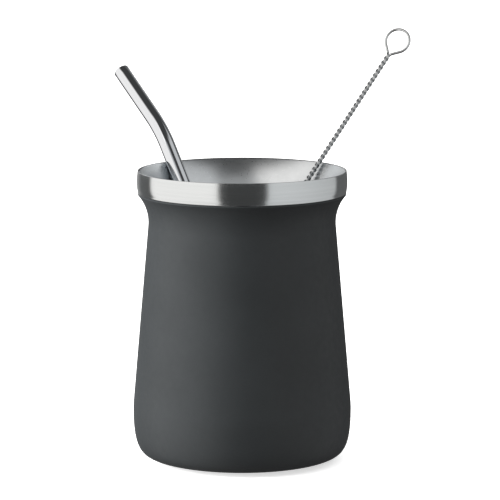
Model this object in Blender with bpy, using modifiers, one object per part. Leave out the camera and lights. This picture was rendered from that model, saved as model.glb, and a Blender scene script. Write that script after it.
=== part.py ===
"""Steel mate cup: a coated outer shell, a bare steel liner rolled over at the rim, a bent drinking straw and
the twisted wire stem of a straw brush, both leaning on the rim. Metres, Z up, with the foot on the origin."""

import math

import bmesh
import bpy
from mathutils import Vector

# Outer shell: heights along the axis and radii from it.
SHEET = 0.0008
FOOT_RADIUS = 0.0270
FOOT_RISE = math.radians(17.5)
FOOT_REACH = 0.0090
BELLY_RADIUS = 0.04115
BELLY_HEIGHT = 0.0195
BELLY_REACH = 0.0209
TAPER_START = 0.0220
TAPER = 0.0863
NECK_RADIUS = 0.0352
NECK_HEIGHT = 0.0905
FLARE_RADIUS = 0.0160
FLARE_ANGLE = math.radians(40.0)

# Liner: the lip stands at the cup's full height, and the bare band hangs from it outside.
CUP_HEIGHT = 0.1100
LIP_RADIUS = 0.0388
THROAT_RADIUS = 0.0320
THROAT_HEIGHT = 0.08975
FUNNEL_RADIUS = 0.0340
LINER_BELLY_RADIUS = 0.0376
LINER_BELLY_HEIGHT = 0.0190
LINER_BELLY_REACH = 0.0080
LINER_FLOOR_RADIUS = 0.0260
LINER_FLOOR_REACH = 0.0070
LINER_FLOOR = 0.0060
BAND = [
    (39.25, 109.4),
    (39.42, 108.2),
    (39.49, 106.8),
    (39.51, 105.6),
    (39.48, 104.4),
    (39.38, 103.3),
    (39.20, 102.5),
]
BAND_EDGE = (38.77, 102.05)
BAND_EDGE_RADIUS = 0.4

# Straw: a tube bent once, its foot on the liner's floor.
STRAW_RADIUS = 0.0030
STRAW_WALL = 0.0005
STRAW_FOOT = Vector((0.01684, -0.02000, 0.00790))
STRAW_AT_RIM = Vector((-0.02588, 0.02297, 0.11000))
STRAW_BELOW_BEND = 0.1328
STRAW_ABOVE_BEND = 0.0309
STRAW_BEND_ANGLE = math.radians(16.1)
STRAW_BEND_RADIUS = 0.050

# Brush stem: two strands twisted together, opening into a loop at the top.
STRAND = 0.0010
STRAND_LEAD = 0.0039
STRANDS_AT_LOOP = math.radians(48)
STEM_TIP = Vector((-0.03534, 0.0, 0.01280))
STEM_AT_RIM = Vector((0.02917, 0.02268, 0.11000))
STEM_LENGTH = 0.1686
LOOP_RADIUS = 0.00468
LOOP_REACH = 0.00595
LOOP_SIDE = Vector((0.7968, -0.4247, -0.4297))

TURN_STEPS = 56
STRAW_SIDES = 20

for leftover in list(bpy.data.objects):
    bpy.data.objects.remove(leftover)


def make_material(name, colour, roughness, metallic):
    material = bpy.data.materials.new(name)
    material.use_nodes = True
    shader = material.node_tree.nodes["Principled BSDF"]
    shader.inputs["Base Color"].default_value = (*colour, 1.0)
    shader.inputs["Roughness"].default_value = roughness
    shader.inputs["Metallic"].default_value = metallic
    return material


def arc(centre, radius, start, end, steps):
    """Points on a circle in the profile plane, from one angle to another, both ends included."""
    return [
        (
            centre[0] + radius * math.cos(start + (end - start) * i / steps),
            centre[1] + radius * math.sin(start + (end - start) * i / steps),
        )
        for i in range(steps + 1)
    ]


def corner(top, top_reach, foot, foot_rise, foot_reach, steps, inset):
    """Points down a cubic curve from an upright tangent at top to a rising one at foot, moved in by inset."""
    ends = [
        Vector(top),
        Vector((top[0], top[1] - top_reach)),
        Vector((foot[0] + foot_reach * math.cos(foot_rise), foot[1] + foot_reach * math.sin(foot_rise))),
        Vector(foot),
    ]
    points = []
    for i in range(steps + 1):
        t = i / steps
        point = Vector((0.0, 0.0))
        for weight, end in zip(((1 - t) ** 3, 3 * t * (1 - t) ** 2, 3 * t * t * (1 - t), t**3), ends):
            point += weight * end
        pull = Vector((0.0, 0.0))
        for weight, before, after in zip(((1 - t) ** 2, 2 * t * (1 - t), t * t), ends, ends[1:]):
            pull += weight * (after - before)
        inward = Vector((pull.y, -pull.x)).normalized()
        points.append(tuple(point + inset * inward))
    return points


def turn(name, profile, material):
    """Turns a profile about Z: it starts and ends on the axis and runs down its outer side."""
    mesh = bpy.data.meshes.new(name)
    mesh.from_pydata([(r, 0.0, z) for r, z in profile], [(i, i + 1) for i in range(len(profile) - 1)], [])
    turned = bpy.data.objects.new(name, mesh)
    bpy.context.collection.objects.link(turned)
    screw = turned.modifiers.new("turn", "SCREW")
    screw.axis = "Z"
    screw.steps = TURN_STEPS
    screw.render_steps = TURN_STEPS
    screw.use_merge_vertices = True
    screw.merge_threshold = 0.00001
    screw.use_smooth_shade = True
    mesh.materials.append(material)
    return turned


def sweep(name, points, radius, sides, capped, cyclic=False, tilts=None, section=None):
    """A round tube, or a given section turned by tilts, along straight steps between points, as a mesh."""
    path = bpy.data.curves.new(name, "CURVE")
    path.dimensions = "3D"
    path.resolution_u = 1
    path.twist_mode = "MINIMUM"
    if section is None:
        path.bevel_depth = radius
        path.bevel_resolution = sides // 2 - 2
    else:
        path.bevel_mode = "OBJECT"
        path.bevel_object = section
    path.use_fill_caps = capped
    spline = path.splines.new("POLY")
    spline.points.add(len(points) - 1)
    for i, point in enumerate(points):
        spline.points[i].co = (*point, 1.0)
        spline.points[i].tilt = tilts[i] if tilts else 0.0
    spline.use_cyclic_u = cyclic
    holder = bpy.data.objects.new(name + "_path", path)
    bpy.context.collection.objects.link(holder)
    bpy.context.view_layer.update()
    evaluated = holder.evaluated_get(bpy.context.evaluated_depsgraph_get())
    mesh = bpy.data.meshes.new_from_object(evaluated)
    bpy.data.objects.remove(holder)
    working = bmesh.new()
    working.from_mesh(mesh)
    bmesh.ops.remove_doubles(working, verts=working.verts, dist=0.00001)
    bmesh.ops.recalc_face_normals(working, faces=working.faces)
    working.to_mesh(mesh)
    working.free()
    swept = bpy.data.objects.new(name, mesh)
    bpy.context.collection.objects.link(swept)
    return swept


coat = make_material("charcoal_coat", (0.045, 0.047, 0.050), 0.45, 0.0)
bare = make_material("brushed_steel", (0.62, 0.62, 0.61), 0.28, 1.0)
polished = make_material("polished_steel", (0.66, 0.66, 0.65), 0.12, 1.0)
wire = make_material("wire_steel", (0.55, 0.56, 0.56), 0.22, 1.0)

# Outer shell. Its side runs down from the collar's round edge under the band, along the flare and neck, the
# taper and the base corner to the foot; the inner side is the same line moved in by the sheet's thickness.
flare_centre = (NECK_RADIUS + FLARE_RADIUS, NECK_HEIGHT)
edge_centre = (
    flare_centre[0] - (FLARE_RADIUS + SHEET / 2) * math.cos(FLARE_ANGLE),
    flare_centre[1] + (FLARE_RADIUS + SHEET / 2) * math.sin(FLARE_ANGLE),
)
taper_angle = math.atan(TAPER)
belly_end = BELLY_RADIUS - TAPER * (TAPER_START - BELLY_HEIGHT) / 2


def shell_side(inset, flare_steps, corner_steps):
    """The shell's side from the collar down to the foot corner, moved in by inset."""
    side = arc(flare_centre, FLARE_RADIUS + inset, math.pi - FLARE_ANGLE, math.pi + taper_angle, flare_steps)
    side.append((belly_end - inset, TAPER_START))
    belly = (BELLY_RADIUS, BELLY_HEIGHT)
    foot = (FOOT_RADIUS, 0.0)
    side += corner(belly, BELLY_REACH, foot, FOOT_RISE, FOOT_REACH, corner_steps, inset)
    return side


edge = arc(edge_centre, SHEET / 2, math.pi - FLARE_ANGLE, -FLARE_ANGLE, 4)[1:-1]
shell_profile = [(0.0, SHEET)] + shell_side(SHEET, 5, 5)[::-1] + edge
shell_profile += shell_side(0.0, 8, 8) + [(0.0, 0.0)]
turn("body_shell", shell_profile, coat)

# Liner. The funnel rises from the throat to the lip, which is rolled over to hang as the bare band; between
# them is a wedge of air down to the band's free edge.
funnel_centre = (THROAT_RADIUS + FUNNEL_RADIUS, THROAT_HEIGHT)
lip_edge_radius = SHEET / 2
lip_centre = (LIP_RADIUS, CUP_HEIGHT - lip_edge_radius)
funnel_rise = math.asin((lip_centre[1] - THROAT_HEIGHT) / FUNNEL_RADIUS)
wedge_rise = math.asin((lip_centre[1] - 0.0022 - THROAT_HEIGHT) / FUNNEL_RADIUS)


def liner_side(outset, rise, funnel_steps, corner_steps):
    """The liner's inner face from the funnel down to its floor corner, moved out by outset."""
    side = arc(funnel_centre, FUNNEL_RADIUS - outset, math.pi - rise, math.pi + taper_angle, funnel_steps)
    belly = (LINER_BELLY_RADIUS, LINER_BELLY_HEIGHT)
    floor = (LINER_FLOOR_RADIUS, LINER_FLOOR)
    side += corner(belly, LINER_BELLY_REACH, floor, 0.0, LINER_FLOOR_REACH, corner_steps, -outset)
    return side


band = [(r / 1000, z / 1000) for r, z in BAND]
band_edge_centre = (BAND_EDGE[0] / 1000, BAND_EDGE[1] / 1000)
band_edge = arc(band_edge_centre, BAND_EDGE_RADIUS / 1000, math.radians(-20), math.radians(-180), 4)
band_inside = [(r - SHEET, z) for r, z in band[-2:0:-2]]
lip = arc(lip_centre, lip_edge_radius, math.pi, 0.0, 4)
liner_profile = [(0.0, LINER_FLOOR)] + liner_side(0.0, funnel_rise, 8, 7)[::-1] + lip[1:] + band + band_edge
liner_profile += band_inside + liner_side(SHEET, wedge_rise, 4, 4) + [(0.0, LINER_FLOOR - SHEET)]
turn("steel_liner", liner_profile, bare)

# Straw. The lower run leans from the liner's floor to the lip; the bend turns it further over in the same
# upright plane. The tube is open at both ends.
lower = (STRAW_AT_RIM - STRAW_FOOT).normalized()
level = Vector((lower.x, lower.y, 0.0)).normalized()
bend_axis = Vector((0.0, 0.0, 1.0)).cross(level)
outward = bend_axis.cross(lower).normalized()
corner_point = STRAW_FOOT + lower * STRAW_BELOW_BEND
tangent = STRAW_BEND_RADIUS * math.tan(STRAW_BEND_ANGLE / 2)
bend_start = corner_point - lower * tangent
bend_steps = 6
bend = []
for i in range(bend_steps + 1):
    angle = STRAW_BEND_ANGLE * i / bend_steps
    along = STRAW_BEND_RADIUS * math.sin(angle)
    aside = STRAW_BEND_RADIUS * (1 - math.cos(angle))
    bend.append(bend_start + lower * along + outward * aside)
upper = lower * math.cos(STRAW_BEND_ANGLE) + outward * math.sin(STRAW_BEND_ANGLE)
straw_end = corner_point + upper * STRAW_ABOVE_BEND
straw = sweep("straw", [STRAW_FOOT, *bend, straw_end], STRAW_RADIUS, STRAW_SIDES, False)
straw_wall = straw.modifiers.new("wall", "SOLIDIFY")
straw_wall.thickness = STRAW_WALL
straw_wall.offset = -1.0
straw_wall.use_even_offset = True
straw.data.materials.append(polished)

# Brush stem. The two strands show as one flat oval, as wide as both, turning once in each lead and lying in
# the loop's plane where they meet it; the loop is one strand that leaves the twist and comes back to it.
stem_way = (STEM_AT_RIM - STEM_TIP).normalized()
oval = bpy.data.curves.new("strand_pair", "CURVE")
oval.dimensions = "2D"
oval_line = oval.splines.new("POLY")
oval_line.points.add(5)
for i, point in enumerate(oval_line.points):
    angle = math.pi * i / 3
    point.co = (STRAND * math.cos(angle), 0.65 * STRAND * math.sin(angle), 0.0, 1.0)
oval_line.use_cyclic_u = True
section = bpy.data.objects.new("strand_pair", oval)
bpy.context.collection.objects.link(section)
steps = round(6 * STEM_LENGTH / STRAND_LEAD)
stem_points = [STEM_TIP + stem_way * (STEM_LENGTH * i / steps) for i in range(steps + 1)]
stem_turn = 2 * math.pi * STEM_LENGTH / STRAND_LEAD
stem_tilts = [STRANDS_AT_LOOP + stem_turn * (1 - i / steps) for i in range(steps + 1)]
stem = sweep("brush_wire", stem_points, 0.0, 0, True, tilts=stem_tilts, section=section)
bpy.data.objects.remove(section)

junction = STEM_TIP + stem_way * STEM_LENGTH
loop_side = (LOOP_SIDE - stem_way * LOOP_SIDE.dot(stem_way)).normalized()
half_gap = math.asin(LOOP_RADIUS / LOOP_REACH)
loop_start = -math.pi / 2 - half_gap
loop_end = math.pi / 2 + half_gap
loop_steps = 22
loop_points = [junction - stem_way * 0.0003]
for i in range(loop_steps + 1):
    angle = loop_start + (loop_end - loop_start) * i / loop_steps
    ahead = LOOP_REACH + LOOP_RADIUS * math.cos(angle)
    aside = LOOP_RADIUS * math.sin(angle)
    loop_points.append(junction + stem_way * ahead + loop_side * aside)
loop = sweep("loop", loop_points, STRAND / 2, 8, False, cyclic=True)
cutters = bpy.data.collections.new("joined")
bpy.context.scene.collection.children.link(cutters)
bpy.context.collection.objects.unlink(loop)
cutters.objects.link(loop)
loop.hide_render = True
loop.display_type = "WIRE"
join = stem.modifiers.new("loop", "BOOLEAN")
join.operation = "UNION"
join.solver = "EXACT"
join.object = loop
stem.data.materials.append(wire)
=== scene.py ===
import math

import bpy
import numpy as np
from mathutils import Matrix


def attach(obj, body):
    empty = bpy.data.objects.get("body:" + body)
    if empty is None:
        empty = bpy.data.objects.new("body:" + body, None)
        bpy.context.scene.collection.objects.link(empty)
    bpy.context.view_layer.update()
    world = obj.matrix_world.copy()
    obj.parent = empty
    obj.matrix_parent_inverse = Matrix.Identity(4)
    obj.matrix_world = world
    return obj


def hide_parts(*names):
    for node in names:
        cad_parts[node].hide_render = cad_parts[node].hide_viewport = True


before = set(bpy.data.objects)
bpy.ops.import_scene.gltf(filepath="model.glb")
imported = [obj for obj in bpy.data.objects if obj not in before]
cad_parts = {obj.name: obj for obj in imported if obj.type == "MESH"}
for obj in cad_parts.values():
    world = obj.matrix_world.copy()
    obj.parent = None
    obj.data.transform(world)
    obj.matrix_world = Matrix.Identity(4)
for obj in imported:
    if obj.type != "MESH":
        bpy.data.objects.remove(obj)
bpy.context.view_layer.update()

# Outer shell: a spun stainless steel wall with a narrow neck and a flared collar, powder coated charcoal
# outside. The collar tucks up under the liner's bare band, and the foot is flat so that the cup stands.


def round_arc(centre, radius, start, end, count):
    """Points on a circle of the profile plane: centre plus radius times the cosine and sine of an angle that
    goes evenly from start to end."""
    angle = np.linspace(start, end, count)
    return np.stack([centre[0] + radius * np.cos(angle), centre[1] + radius * np.sin(angle)], axis=1)


def foot_corner(top, top_reach, foot, rise, foot_reach, inset, count):
    """A cubic Bezier curve from an upright tangent at top to a tangent of angle rise at foot, each point
    moved by inset along the curve's normal, towards the cup's inside."""
    t = np.linspace(0.0, 1.0, count)[:, None]
    a = np.array(top)
    b = a - [0.0, top_reach]
    d = np.array(foot)
    c = d + foot_reach * np.array([math.cos(rise), math.sin(rise)])
    point = (1 - t) ** 3 * a + 3 * t * (1 - t) ** 2 * b + 3 * t * t * (1 - t) * c + t**3 * d
    along = (1 - t) ** 2 * (b - a) + 2 * t * (1 - t) * (c - b) + t * t * (d - c)
    along /= np.linalg.norm(along, axis=1, keepdims=True)
    return point + inset * np.stack([along[:, 1], -along[:, 0]], axis=1)


def spun(name, profile, turns):
    """A closed turned surface: the point at profile step i and turn share a is radius_i times the cosine and
    sine of a, at height_i. The profile runs from the axis over the inside, the rim and the outside back to
    the axis, so its first and last points are poles. The UV map holds the share of a turn and the metres
    along the profile."""
    radius = profile[1:-1, 0]
    height = profile[1:-1, 1]
    angle = np.arange(turns) * (2 * math.pi / turns)
    rings = np.stack(
        [
            radius[:, None] * np.cos(angle),
            radius[:, None] * np.sin(angle),
            np.repeat(height[:, None], turns, axis=1),
        ],
        axis=-1,
    ).reshape(-1, 3)
    poles = np.array([[0.0, 0.0, profile[0, 1]], [0.0, 0.0, profile[-1, 1]]])
    count = len(radius)
    here = np.arange(turns)
    there = (here + 1) % turns
    row = np.arange(count - 1)[:, None] * turns
    quads = np.stack([row + here, row + turns + here, row + turns + there, row + there], axis=-1)
    first, last = len(rings), len(rings) + 1
    start = np.stack([np.full(turns, first), here, there], axis=-1)
    end = (count - 1) * turns
    finish = np.stack([end + here, np.full(turns, last), end + there], axis=-1)
    faces = quads.reshape(-1, 4).tolist() + start.tolist() + finish.tolist()
    mesh = bpy.data.meshes.new(name)
    mesh.from_pydata(np.vstack([rings, poles]), [], faces)
    gone = np.concatenate([[0.0], np.cumsum(np.linalg.norm(np.diff(profile, axis=0), axis=1))])
    share = np.arange(turns) / turns
    step = 1.0 / turns
    v0 = np.repeat(gone[1:-2], turns)
    v1 = np.repeat(gone[2:-1], turns)
    u0 = np.tile(share, count - 1)
    quad_uv = np.stack([np.stack([u0, u0, u0 + step, u0 + step], 1), np.stack([v0, v1, v1, v0], 1)], -1)
    half = share + step / 2
    start_u = np.stack([half, share, share + step], 1)
    start_v = np.tile([gone[0], gone[1], gone[1]], (turns, 1))
    start_uv = np.stack([start_u, start_v], -1)
    finish_u = np.stack([share, half, share + step], 1)
    finish_v = np.tile([gone[-2], gone[-1], gone[-2]], (turns, 1))
    finish_uv = np.stack([finish_u, finish_v], -1)
    uv = np.concatenate([quad_uv.reshape(-1, 2), start_uv.reshape(-1, 2), finish_uv.reshape(-1, 2)])
    mesh.uv_layers.new(name="round_and_along").data.foreach_set("uv", uv.ravel())
    mesh.polygons.foreach_set("use_smooth", np.ones(len(mesh.polygons), bool))
    mesh.update()
    made = bpy.data.objects.new(name, mesh)
    bpy.context.scene.collection.objects.link(made)
    return made


SHEET = 0.0008
TAPER = 0.0863
TAPER_ANGLE = math.atan(TAPER)
FLARE_ANGLE = math.radians(40.35)
FLARE_CENTRE = (0.0512, 0.0905)
FLARE = 0.0160
BELLY = (0.04115, 0.0195)
BELLY_REACH = 0.0209
TAPER_END = 0.0046
KNEE = 0.0016
FOOT = (0.0270, 0.0)
FOOT_RISE = math.radians(17.5)
FOOT_REACH = 0.0090
SHELL_TURNS = 224
collar_edge = (
    FLARE_CENTRE[0] - (FLARE + SHEET / 2) * math.cos(FLARE_ANGLE),
    FLARE_CENTRE[1] + (FLARE + SHEET / 2) * math.sin(FLARE_ANGLE),
)


def shell_wall(inset):
    """The shell's side from its collar down to the foot: the flare's arc, a straight taper that ends
    TAPER_END above the belly, a quadratic Bezier curve into the belly, and the base corner, all moved in by
    inset."""
    flare = round_arc(FLARE_CENTRE, FLARE + inset, math.pi - FLARE_ANGLE, math.pi + TAPER_ANGLE, 36)
    ease = np.linspace(0.0, 1.0, 14)[:, None]
    belly = np.array([BELLY[0] - inset, BELLY[1]])
    knee = belly + [0.0, KNEE]
    line_end = belly + [-TAPER * (TAPER_END - KNEE), TAPER_END]
    straight = flare[-1] + (line_end - flare[-1]) * ease
    knee_curve = (1 - ease) ** 2 * line_end + 2 * ease * (1 - ease) * knee + ease**2 * belly
    corner = foot_corner(BELLY, BELLY_REACH, FOOT, FOOT_RISE, FOOT_REACH, inset, 40)
    return np.vstack([flare, straight[1:-1], knee_curve[:-1], corner])


shell_profile = np.vstack(
    [
        [[0.0, SHEET]],
        shell_wall(SHEET)[::-1],
        round_arc(collar_edge, SHEET / 2, math.pi - FLARE_ANGLE, -FLARE_ANGLE, 11)[1:-1],
        shell_wall(0.0),
        [[0.0, 0.0]],
    ]
)
shell = spun("coated_shell", shell_profile, SHELL_TURNS)

coat = bpy.data.materials.new("charcoal powder coat")
coat.use_nodes = True
nodes, links = coat.node_tree.nodes, coat.node_tree.links
paint = nodes["Principled BSDF"]
paint.inputs["Specular IOR Level"].default_value = 0.35
place = nodes.new("ShaderNodeTexCoord")
grain = nodes.new("ShaderNodeTexNoise")
grain.inputs["Scale"].default_value = 2600.0
grain.inputs["Detail"].default_value = 3.0
grain.inputs["Roughness"].default_value = 0.55
links.new(place.outputs["Object"], grain.inputs["Vector"])
flow = nodes.new("ShaderNodeTexNoise")
flow.inputs["Scale"].default_value = 420.0
flow.inputs["Detail"].default_value = 2.0
links.new(place.outputs["Object"], flow.inputs["Vector"])
drift = nodes.new("ShaderNodeTexNoise")
drift.inputs["Scale"].default_value = 38.0
drift.inputs["Detail"].default_value = 4.0
links.new(place.outputs["Object"], drift.inputs["Vector"])
tone = nodes.new("ShaderNodeValToRGB")
tone.color_ramp.elements[0].position = 0.30
tone.color_ramp.elements[0].color = (0.0256, 0.0288, 0.0306, 1.0)
tone.color_ramp.elements[1].position = 0.72
tone.color_ramp.elements[1].color = (0.0313, 0.0350, 0.0373, 1.0)
links.new(drift.outputs["Fac"], tone.inputs["Fac"])
speck = nodes.new("ShaderNodeMixRGB")
speck.blend_type = "MULTIPLY"
speck.inputs["Fac"].default_value = 0.22
links.new(tone.outputs["Color"], speck.inputs["Color1"])
links.new(grain.outputs["Fac"], speck.inputs["Color2"])
links.new(speck.outputs["Color"], paint.inputs["Base Color"])
sheen = nodes.new("ShaderNodeMapRange")
sheen.inputs["From Min"].default_value = 0.3
sheen.inputs["From Max"].default_value = 0.7
sheen.inputs["To Min"].default_value = 0.47
sheen.inputs["To Max"].default_value = 0.55
links.new(flow.outputs["Fac"], sheen.inputs["Value"])
links.new(sheen.outputs["Result"], paint.inputs["Roughness"])
peel = nodes.new("ShaderNodeBump")
peel.inputs["Strength"].default_value = 0.10
peel.inputs["Distance"].default_value = 0.00006
links.new(flow.outputs["Fac"], peel.inputs["Height"])
pits = nodes.new("ShaderNodeBump")
pits.inputs["Strength"].default_value = 0.16
pits.inputs["Distance"].default_value = 0.00002
links.new(grain.outputs["Fac"], pits.inputs["Height"])
links.new(peel.outputs["Normal"], pits.inputs["Normal"])
links.new(pits.outputs["Normal"], paint.inputs["Normal"])
shell.data.materials.append(coat)
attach(shell, "root")
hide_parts("body_shell")

# Steel liner: the bare inner cup, drawn from one sheet. Its mouth opens as a funnel, and the sheet is folded
# over at the lip to hang outside as the bright band that grips the coated collar's edge.


def smooth_through(knots, count):
    """A Catmull-Rom curve through the knots, its end tangents taken from the first and last steps."""
    knots = np.asarray(knots, float)
    ends = np.vstack([2 * knots[0] - knots[1], knots, 2 * knots[-1] - knots[-2]])
    s = np.linspace(0.0, len(knots) - 1.0, count)
    i = np.minimum(s.astype(int), len(knots) - 2)
    t = (s - i)[:, None]
    p0, p1, p2, p3 = ends[i], ends[i + 1], ends[i + 2], ends[i + 3]
    square = 2 * p0 - 5 * p1 + 4 * p2 - p3
    cube = 3 * p1 - p0 - 3 * p2 + p3
    return 0.5 * (2 * p1 + (p2 - p0) * t + square * t**2 + cube * t**3)


CUP_TOP = 0.1100
LIP = 0.0007
FOLD = 0.0004
FUNNEL_CENTRE = (0.0660, 0.08975)
FUNNEL = 0.0340
WEDGE_TOP = 0.1074
LINER_BELLY = (0.0376, 0.0190)
LINER_BELLY_REACH = 0.0080
LINER_FLOOR = (0.0260, 0.0060)
LINER_FLOOR_REACH = 0.0070
LINER_TURNS = 224
TURNED_OVER = 0.00016
FOLD_CENTRE = (0.03877, 0.10195)
BAND = [
    (0.03920, 0.10984),
    (0.03931, 0.10900),
    (0.03941, 0.10810),
    (0.03948, 0.10680),
    (0.03950, 0.10560),
    (0.03947, 0.10440),
    (0.03937, 0.10330),
    (0.03915, 0.10215),
]
funnel_rise = math.asin((CUP_TOP - LIP - FUNNEL_CENTRE[1]) / (FUNNEL - LIP))
wedge_rise = math.asin((WEDGE_TOP - FUNNEL_CENTRE[1]) / FUNNEL)
lip_centre = (FUNNEL_CENTRE[0] - (FUNNEL - LIP) * math.cos(funnel_rise), CUP_TOP - LIP)


def liner_wall(outset, rise, count):
    """The liner's inner face from the funnel's arc down a straight taper to its floor corner, moved out by
    outset."""
    funnel = round_arc(FUNNEL_CENTRE, FUNNEL - outset, math.pi - rise, math.pi + TAPER_ANGLE, count)
    corner = foot_corner(LINER_BELLY, LINER_BELLY_REACH, LINER_FLOOR, 0.0, LINER_FLOOR_REACH, -outset, 24)
    straight = np.linspace(funnel[-1], corner[0], 16)[1:-1]
    return np.vstack([funnel, straight, corner])


inner_face = liner_wall(0.0, funnel_rise, 40)[::-1]
band_outside = smooth_through(BAND, 40)
band_inside = band_outside[-8:6:-3] - [SHEET, 0.0]
band_top = (BAND[0][0] - TURNED_OVER, CUP_TOP - TURNED_OVER)
rolled_edge = np.vstack(
    [
        round_arc(lip_centre, LIP, math.pi - funnel_rise, math.pi / 2, 8)[1:-1],
        round_arc(band_top, TURNED_OVER, math.pi / 2, 0.0, 6)[:-1],
        band_outside,
        round_arc(FOLD_CENTRE, FOLD, math.radians(-15), math.radians(-180), 11),
    ]
)
liner_profile = np.vstack(
    [
        [[0.0, LINER_FLOOR[1]]],
        inner_face,
        rolled_edge,
        band_inside,
        liner_wall(SHEET, wedge_rise, 16),
        [[0.0, LINER_FLOOR[1] - SHEET]],
    ]
)
liner = spun("bare_liner", liner_profile, LINER_TURNS)

# The grain of bare steel: noise over the UV map, stretched far one way for the lines that a brush or a
# drawing die leaves, and nearly even both ways for a satin finish.
lines = bpy.data.node_groups.new("drawn lines", "ShaderNodeTree")
lines.interface.new_socket("Stretch", in_out="INPUT", socket_type="NodeSocketVector")
lines.interface.new_socket("Low", in_out="INPUT", socket_type="NodeSocketFloat")
lines.interface.new_socket("High", in_out="INPUT", socket_type="NodeSocketFloat")
lines.interface.new_socket("Lines", in_out="OUTPUT", socket_type="NodeSocketFloat")
lines.interface.new_socket("Roughness", in_out="OUTPUT", socket_type="NodeSocketFloat")
lines.interface.new_socket("Tint", in_out="OUTPUT", socket_type="NodeSocketFloat")
inside, wires = lines.nodes, lines.links
given = inside.new("NodeGroupInput")
handed = inside.new("NodeGroupOutput")
where = inside.new("ShaderNodeUVMap")
where.uv_map = "round_and_along"
pulled = inside.new("ShaderNodeVectorMath")
pulled.operation = "MULTIPLY"
wires.new(where.outputs["UV"], pulled.inputs[0])
wires.new(given.outputs["Stretch"], pulled.inputs[1])
fine = inside.new("ShaderNodeTexNoise")
fine.inputs["Scale"].default_value = 1.0
fine.inputs["Detail"].default_value = 4.0
fine.inputs["Roughness"].default_value = 0.7
wires.new(pulled.outputs["Vector"], fine.inputs["Vector"])
coarse = inside.new("ShaderNodeTexNoise")
coarse.inputs["Scale"].default_value = 0.21
coarse.inputs["Detail"].default_value = 2.0
wires.new(pulled.outputs["Vector"], coarse.inputs["Vector"])
wires.new(fine.outputs["Fac"], handed.inputs["Lines"])
gloss = inside.new("ShaderNodeMapRange")
gloss.inputs["From Min"].default_value = 0.3
gloss.inputs["From Max"].default_value = 0.7
wires.new(fine.outputs["Fac"], gloss.inputs["Value"])
wires.new(given.outputs["Low"], gloss.inputs["To Min"])
wires.new(given.outputs["High"], gloss.inputs["To Max"])
wires.new(gloss.outputs["Result"], handed.inputs["Roughness"])
wires.new(coarse.outputs["Fac"], handed.inputs["Tint"])


def steel(name, stretch, low, high, dull, bright, depth, across=0.0):
    """Bare stainless steel: its colour runs between dull and bright with the grain, its roughness between
    low and high, and depth is the grain's relief in metres. Lines that run round the cup spread a highlight
    across them, up and down, by the share given."""
    made = bpy.data.materials.new(name)
    made.use_nodes = True
    nodes, links = made.node_tree.nodes, made.node_tree.links
    metal = nodes["Principled BSDF"]
    metal.inputs["Metallic"].default_value = 1.0
    metal.inputs["Anisotropic"].default_value = across
    metal.inputs["Anisotropic Rotation"].default_value = 0.25
    if across:
        round_the_cup = nodes.new("ShaderNodeTangent")
        round_the_cup.direction_type = "RADIAL"
        round_the_cup.axis = "Z"
        links.new(round_the_cup.outputs["Tangent"], metal.inputs["Tangent"])
    drawn = nodes.new("ShaderNodeGroup")
    drawn.node_tree = lines
    drawn.inputs["Stretch"].default_value = stretch
    drawn.inputs["Low"].default_value = low
    drawn.inputs["High"].default_value = high
    links.new(drawn.outputs["Roughness"], metal.inputs["Roughness"])
    tint = nodes.new("ShaderNodeMixRGB")
    tint.inputs["Color1"].default_value = (*dull, 1.0)
    tint.inputs["Color2"].default_value = (*bright, 1.0)
    links.new(drawn.outputs["Tint"], tint.inputs["Fac"])
    links.new(tint.outputs["Color"], metal.inputs["Base Color"])
    relief = nodes.new("ShaderNodeBump")
    relief.inputs["Strength"].default_value = 0.5
    relief.inputs["Distance"].default_value = depth
    links.new(drawn.outputs["Lines"], relief.inputs["Height"])
    links.new(relief.outputs["Normal"], metal.inputs["Normal"])
    return made


satin = steel(
    "satin steel",
    stretch=(240.0, 1000.0, 1.0),
    low=0.26,
    high=0.36,
    dull=(0.70, 0.73, 0.745),
    bright=(0.80, 0.83, 0.85),
    depth=0.00004,
)
brushed = steel(
    "brushed steel",
    stretch=(5.0, 4200.0, 1.0),
    low=0.14,
    high=0.24,
    dull=(0.69, 0.72, 0.73),
    bright=(0.79, 0.82, 0.83),
    depth=0.00001,
    across=0.6,
)
liner.data.materials.append(satin)
liner.data.materials.append(brushed)
finish_of = np.zeros(len(liner.data.polygons), np.int32)
finish_of[(len(inner_face) - 1) * LINER_TURNS : (len(inner_face) + len(rolled_edge) - 1) * LINER_TURNS] = 1
liner.data.polygons.foreach_set("material_index", finish_of)
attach(liner, "root")
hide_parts("steel_liner")

# Straw: a polished steel tube six millimetres across, bent once a little above the lip it leans on. Both ends
# are cut square and their edges broken, and the tube is open right through.


def tube_rows(centres, aside, upright, around):
    """Points of a tube: each row is a centre plus a radius times the cosine of the angle along upright and
    its sine along aside."""
    angle = np.linspace(0.0, 2 * math.pi, around, endpoint=False)
    radius = centres[:, 3:4]
    return (
        centres[:, None, :3]
        + radius[:, :, None] * np.cos(angle)[None, :, None] * upright[:, None, :]
        + radius[:, :, None] * np.sin(angle)[None, :, None] * aside[:, None, :]
    )


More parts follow.
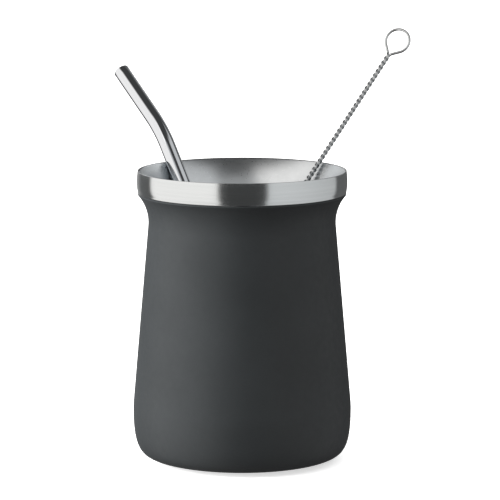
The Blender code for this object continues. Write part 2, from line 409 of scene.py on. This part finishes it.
def skinned(name, rows, gone, closed):
    """A surface over rows of points that each go once round. A closed one joins its last row to its first,
    and an open one ends in a point at the middle of each end row. The UV map holds the share of a turn round
    the tube and the metres along it."""
    count, around = rows.shape[:2]
    here = np.arange(around)
    there = (here + 1) % around
    row = np.arange(count if closed else count - 1)[:, None]
    after = (row + 1) % count
    quads = np.stack(
        [row * around + here, row * around + there, after * around + there, after * around + here], axis=-1
    ).reshape(-1, 4)
    points = rows.reshape(-1, 3)
    faces = quads.tolist()
    share = here / around
    step = 1.0 / around
    v0 = np.repeat(gone[: len(row)], around)
    v1 = np.repeat(np.append(gone[1:], gone[-1] + gone[1] - gone[0])[: len(row)], around)
    u0 = np.tile(share, len(row))
    wall_u = np.stack([u0, u0 + step, u0 + step, u0], 1)
    wall_v = np.stack([v0, v0, v1, v1], 1)
    uv = np.stack([wall_u, wall_v], -1).reshape(-1, 2)
    if not closed:
        tips = np.stack([rows[0].mean(axis=0), rows[-1].mean(axis=0)])
        first = len(points)
        base = (count - 1) * around
        points = np.vstack([points, tips])
        faces += np.stack([np.full(around, first), there, here], axis=-1).tolist()
        faces += np.stack([np.full(around, first + 1), base + here, base + there], axis=-1).tolist()
        half = share + step / 2
        near = np.stack([np.stack([half, share + step, share], 1), np.full((around, 3), gone[0])], -1)
        far = np.stack([np.stack([half, share, share + step], 1), np.full((around, 3), gone[-1])], -1)
        uv = np.concatenate([uv, near.reshape(-1, 2), far.reshape(-1, 2)])
    mesh = bpy.data.meshes.new(name)
    mesh.from_pydata(points, [], faces)
    mesh.uv_layers.new(name="round_and_along").data.foreach_set("uv", uv.ravel())
    mesh.polygons.foreach_set("use_smooth", np.ones(len(mesh.polygons), bool))
    mesh.update()
    made = bpy.data.objects.new(name, mesh)
    bpy.context.scene.collection.objects.link(made)
    return made


STRAW_FOOT = np.array([0.01684, -0.02000, 0.00790])
STRAW_AT_LIP = np.array([-0.02588, 0.02297, 0.11000])
STRAW_BEND_ANGLE = math.radians(16.1)
STRAW_BEND = 0.050
STRAW_BELOW_BEND = 0.1328
STRAW_ABOVE_BEND = 0.0309
STRAW_OUTER = 0.0030
STRAW_INNER = 0.0025
STRAW_EDGE = 0.00018
STRAW_SIDES = 64
lower = (STRAW_AT_LIP - STRAW_FOOT) / np.linalg.norm(STRAW_AT_LIP - STRAW_FOOT)
level = np.array([lower[0], lower[1], 0.0]) / math.hypot(lower[0], lower[1])
across = np.cross([0.0, 0.0, 1.0], level)
outward = np.cross(across, lower)
bend_tangent = STRAW_BEND * math.tan(STRAW_BEND_ANGLE / 2)
bend_length = STRAW_BEND * STRAW_BEND_ANGLE
straw_knee = STRAW_BELOW_BEND - bend_tangent
straw_length = straw_knee + bend_length + STRAW_ABOVE_BEND - bend_tangent


def straw_line(s):
    """The straw's middle at s metres from its foot: straight, then a round bend in the upright plane of its
    lean, then straight again. It gives the points and the unit vectors square to it in that plane."""
    turned = np.clip((s - straw_knee) / STRAW_BEND, 0.0, STRAW_BEND_ANGLE)
    before = np.minimum(s, straw_knee)
    past = np.maximum(s - straw_knee - bend_length, 0.0)
    run = before + STRAW_BEND * np.sin(turned) + past * math.cos(STRAW_BEND_ANGLE)
    rise = STRAW_BEND * (1 - np.cos(turned)) + past * math.sin(STRAW_BEND_ANGLE)
    points = STRAW_FOOT + run[:, None] * lower + rise[:, None] * outward
    normals = np.cos(turned)[:, None] * outward - np.sin(turned)[:, None] * lower
    return points, normals


def broken_edge(s_flat, radius_wall, s_way, radius_way, from_wall):
    """A quarter circle of radius STRAW_EDGE from the tube's wall to its flat end, or the other way round, as
    (s, radius) pairs: s goes one minus the sine of an angle from the end, the radius one minus its cosine."""
    t = np.linspace(0.0, 0.5 * math.pi, 5)
    t = t if from_wall else t[::-1]
    return np.stack(
        [
            s_flat + s_way * STRAW_EDGE * (1 - np.sin(t)),
            radius_wall + radius_way * STRAW_EDGE * (1 - np.cos(t)),
        ],
        axis=1,
    )


walk = np.concatenate(
    [
        np.linspace(STRAW_EDGE, straw_knee, 40),
        np.linspace(straw_knee, straw_knee + bend_length, 26)[1:],
        np.linspace(straw_knee + bend_length, straw_length - STRAW_EDGE, 10)[1:],
    ]
)
section = np.vstack(
    [
        np.stack([walk, np.full_like(walk, STRAW_OUTER)], axis=1),
        broken_edge(straw_length, STRAW_OUTER, -1, -1, True)[1:],
        broken_edge(straw_length, STRAW_INNER, -1, 1, False)[:-1],
        np.stack([walk[::-1], np.full_like(walk, STRAW_INNER)], axis=1),
        broken_edge(0.0, STRAW_INNER, 1, 1, True)[1:],
        broken_edge(0.0, STRAW_OUTER, 1, -1, False)[:-1],
    ]
)
middle, in_plane = straw_line(section[:, 0])
straw_centres = np.hstack([middle, section[:, 1:2]])
straw_rows = tube_rows(straw_centres, in_plane, np.tile(across, (len(section), 1)), STRAW_SIDES)
straw = skinned("bent_straw", straw_rows, section[:, 0], True)
polished = steel(
    "polished steel",
    stretch=(60.0, 40.0, 1.0),
    low=0.05,
    high=0.10,
    dull=(0.735, 0.765, 0.795),
    bright=(0.795, 0.825, 0.855),
    depth=0.0000015,
)
straw.data.materials.append(polished)
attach(straw, "root")
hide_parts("straw")

# Brush stem: one length of drawn steel wire folded in half. The fold is left open as a round loop to hold it
# by, and the two halves are twisted tightly together below. It stands in the liner and leans on its lip.
STRAND = 0.0005
LEAD = 0.0039
STEPS_PER_TURN = 18
LOOP_STEPS = 72
LEG_STEPS = 20
SOFTENED_STEPS = 6
WIRE_SIDES = 14
STEM_TIP = np.array([-0.03534, 0.0, 0.01280])
STEM_AT_LIP = np.array([0.02917, 0.02268, 0.11000])
STEM_LENGTH = 0.1686
LOOP = 0.00465
LOOP_REACH = 0.00595
stem_way = (STEM_AT_LIP - STEM_TIP) / np.linalg.norm(STEM_AT_LIP - STEM_TIP)
loop_side = np.array([0.7968, -0.4247, -0.4297])
loop_side -= stem_way * loop_side.dot(stem_way)
loop_side /= np.linalg.norm(loop_side)
loop_face = np.cross(stem_way, loop_side)


def folded_wire():
    """The wire's middle as (along, sideways, facing) distances: a helix up of one strand radius, a straight
    leg, an arc of more than half a turn, a leg back, and the same helix down half a turn behind. From the
    last steps of one helix to the first of the other, each point is then moved three times to half its own
    place plus a quarter of each neighbour's."""
    s = np.linspace(0.0, STEM_LENGTH, round(STEM_LENGTH / LEAD * STEPS_PER_TURN))
    turn = 2 * math.pi * (STEM_LENGTH - s) / LEAD
    up = np.stack([s, STRAND * np.cos(turn), STRAND * np.sin(turn)], axis=1)
    down = (up * [1.0, -1.0, -1.0])[::-1]
    open_by = math.asin(LOOP / LOOP_REACH)
    sweep = np.linspace(math.pi / 2 + open_by, -math.pi / 2 - open_by, LOOP_STEPS)
    arc = np.stack(
        [STEM_LENGTH + LOOP_REACH + LOOP * np.cos(sweep), LOOP * np.sin(sweep), np.zeros_like(sweep)], axis=1
    )
    leg = np.linspace(0.0, 1.0, LEG_STEPS)[1:-1, None]
    rise = up[-1] + (arc[0] - up[-1]) * leg
    fall = arc[-1] + (down[0] - arc[-1]) * leg
    path = np.vstack([up, rise, arc, fall, down])
    middle = len(up) + len(rise) + len(arc) // 2
    reach = len(rise) + len(arc) // 2 + SOFTENED_STEPS
    near = slice(middle - reach, middle + reach)
    soft = path.copy()
    for _ in range(3):
        soft[1:-1] = 0.25 * soft[:-2] + 0.5 * soft[1:-1] + 0.25 * soft[2:]
    path[near] = soft[near]
    return path


wire_path = folded_wire()
wire_points = (
    STEM_TIP + wire_path[:, :1] * stem_way + wire_path[:, 1:2] * loop_side + wire_path[:, 2:] * loop_face
)
heading = np.gradient(wire_points, axis=0)
heading /= np.linalg.norm(heading, axis=1, keepdims=True)
aside = np.cross(heading, loop_face)
aside /= np.linalg.norm(aside, axis=1, keepdims=True)
upright = np.cross(aside, heading)
wire_centres = np.hstack([wire_points, np.full((len(wire_points), 1), STRAND)])
wire_rows = tube_rows(wire_centres, aside, upright, WIRE_SIDES)
wire_gone = np.concatenate([[0.0], np.cumsum(np.linalg.norm(np.diff(wire_points, axis=0), axis=1))])
stem = skinned("brush_stem", wire_rows, wire_gone, False)
drawn_wire = steel(
    "drawn wire",
    stretch=(14.0, 260.0, 1.0),
    low=0.12,
    high=0.20,
    dull=(0.62, 0.64, 0.65),
    bright=(0.76, 0.78, 0.79),
    depth=0.000003,
)
stem.data.materials.append(drawn_wire)
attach(stem, "root")
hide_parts("brush_wire")

# Studio: a white acrylic table lit from below too, so that shadows stay faint, a soft light overhead, a key
# light at the left, and a surround of dark card with a tall soft box on either side, lit walls behind, a low
# glow in the back left corner and a small glow high in front.
floor_mesh = bpy.data.meshes.new("floor")
floor_mesh.from_pydata([(-6, -4, 0), (6, -4, 0), (6, 14, 0), (-6, 14, 0)], [], [(0, 1, 2, 3)])
floor = bpy.data.objects.new("floor", floor_mesh)
bpy.context.scene.collection.objects.link(floor)
floor.visible_glossy = False
floor.visible_diffuse = False
acrylic = bpy.data.materials.new("white acrylic")
acrylic.use_nodes = True
sheet = acrylic.node_tree.nodes["Principled BSDF"]
sheet.inputs["Base Color"].default_value = (0.90, 0.90, 0.90, 1.0)
sheet.inputs["Roughness"].default_value = 0.9
sheet.inputs["Specular IOR Level"].default_value = 0.0
sheet.inputs["Emission Color"].default_value = (1.0, 1.0, 1.0, 1.0)
sheet.inputs["Emission Strength"].default_value = 0.62
floor.data.materials.append(acrylic)

overhead = bpy.data.lights.new("overhead", "SUN")
overhead.angle = math.radians(110)
overhead.energy = 2.4
overhead_light = bpy.data.objects.new("overhead", overhead)
overhead_light.visible_glossy = False
bpy.context.scene.collection.objects.link(overhead_light)

KEY_AT = (-1.47, -0.30, 0.50)
key = bpy.data.lights.new("key", "AREA")
key.shape = "RECTANGLE"
key.size = 1.0
key.size_y = 1.2
key.energy = 62.0
key_light = bpy.data.objects.new("key", key)
key_light.location = KEY_AT
key_light.rotation_euler = (0.0, math.radians(-74), math.atan2(-KEY_AT[1], -KEY_AT[0]))
key_light.visible_glossy = False
bpy.context.scene.collection.objects.link(key_light)

world = bpy.data.worlds.new("surround")
bpy.context.scene.world = world
world.use_nodes = True
nodes, links = world.node_tree.nodes, world.node_tree.links
nodes.clear()
look = nodes.new("ShaderNodeTexCoord")
split = nodes.new("ShaderNodeSeparateXYZ")
links.new(look.outputs["Generated"], split.inputs["Vector"])


def reckon(operation, *values):
    """One Math node of the surround: its inputs are numbers or other nodes' results."""
    node = nodes.new("ShaderNodeMath")
    node.operation = operation
    for socket, value in zip(node.inputs, values):
        if isinstance(value, (int, float)):
            socket.default_value = value
        else:
            links.new(value, socket)
    return node.outputs["Value"]


def ramp_up(value, start, end):
    """0 before start, 1 past end, both in degrees, and a smooth step between them. The end may be the lower
    of the two."""
    node = nodes.new("ShaderNodeMapRange")
    node.interpolation_type = "SMOOTHSTEP"
    node.inputs["From Min"].default_value = math.radians(min(start, end))
    node.inputs["From Max"].default_value = math.radians(max(start, end))
    node.inputs["To Min"].default_value = 0.0 if start < end else 1.0
    node.inputs["To Max"].default_value = 1.0 if start < end else 0.0
    links.new(value, node.inputs["Value"])
    return node.outputs["Result"]


def product(*values):
    """All the values multiplied together, in their order."""
    result = values[0]
    for value in values[1:]:
        result = reckon("MULTIPLY", result, value)
    return result


def eased(value, start, end, degrees):
    """An angle that goes from nothing before start to degrees past end, as ramp_up does."""
    return reckon("MULTIPLY", ramp_up(value, start, end), math.radians(degrees))


# Bearings run from straight in front of the cup, the right positive, and heights from the horizon.
bearing = reckon("ARCTAN2", split.outputs["X"], reckon("MULTIPLY", split.outputs["Y"], -1.0))
aside_of = reckon("ABSOLUTE", bearing)
height = reckon("ARCSINE", split.outputs["Z"])
beside = product(ramp_up(height, 58, 42), reckon("MULTIPLY_ADD", ramp_up(height, -44, -24), 0.5, 0.5))
drawn_in = eased(height, 6, 16, 15)
left_inner = ramp_up(reckon("ADD", bearing, eased(height, 28, 36, -6)), -24, -28)
left_box = product(left_inner, ramp_up(bearing, -121.5, -116), beside, 1.02)
right_inner = ramp_up(reckon("ADD", bearing, eased(height, 26, 46, -13)), 26, 30)
right_outer = ramp_up(reckon("ADD", bearing, drawn_in), 127, 122)
right_falling = reckon("MULTIPLY_ADD", ramp_up(bearing, 40, 128), -0.19, 0.80)
right_box = product(right_inner, right_outer, ramp_up(height, 55, 45), right_falling, beside)
right_wall = product(
    ramp_up(reckon("SUBTRACT", bearing, drawn_in), 120, 134),
    ramp_up(bearing, 160, 146),
    ramp_up(height, 4, 16),
    0.78,
)
left_wall = product(ramp_up(bearing, -118, -126), ramp_up(bearing, -172, -162), ramp_up(height, 2, 10))
walls = product(reckon("ADD", right_wall, left_wall), ramp_up(height, 36, 24), beside)
card_behind = product(ramp_up(aside_of, 120, 134), 0.085)
corner_glow = product(ramp_up(bearing, -142, -166), ramp_up(height, 12, 4), 0.30)
front_glow = product(ramp_up(aside_of, 32, 21), ramp_up(height, 22, 30), ramp_up(height, 41, 32), 0.75)
lit = 0.068
for glow in (right_box, walls, card_behind, corner_glow, front_glow):
    lit = reckon("ADD", lit, glow)
rest = nodes.new("ShaderNodeBackground")
links.new(lit, rest.inputs["Strength"])
left = nodes.new("ShaderNodeBackground")
left.inputs["Color"].default_value = (1.0, 0.965, 0.935, 1.0)
links.new(left_box, left.inputs["Strength"])
both = nodes.new("ShaderNodeAddShader")
links.new(rest.outputs["Background"], both.inputs[0])
links.new(left.outputs["Background"], both.inputs[1])
white = nodes.new("ShaderNodeBackground")
white.inputs["Strength"].default_value = 1.05
seen = nodes.new("ShaderNodeLightPath")
choose = nodes.new("ShaderNodeMixShader")
links.new(seen.outputs["Is Camera Ray"], choose.inputs["Fac"])
links.new(both.outputs["Shader"], choose.inputs[1])
links.new(white.outputs["Background"], choose.inputs[2])
surround = nodes.new("ShaderNodeOutputWorld")
links.new(choose.outputs["Shader"], surround.inputs["Surface"])

# Camera: a long lens a little above the rim, looking slightly down, as the photo was taken.
LOOKING_DOWN = 8.54
lens = bpy.data.cameras.new("camera")
lens.lens = 244.2
lens.sensor_width = 36.0
camera = bpy.data.objects.new("camera", lens)
camera.location = (0.00296, -1.261, 0.2691)
camera.rotation_euler = (math.radians(90 - LOOKING_DOWN), 0.0, 0.0)
bpy.context.scene.collection.objects.link(camera)
bpy.context.scene.camera = camera
bpy.context.scene.view_settings.view_transform = "Standard"
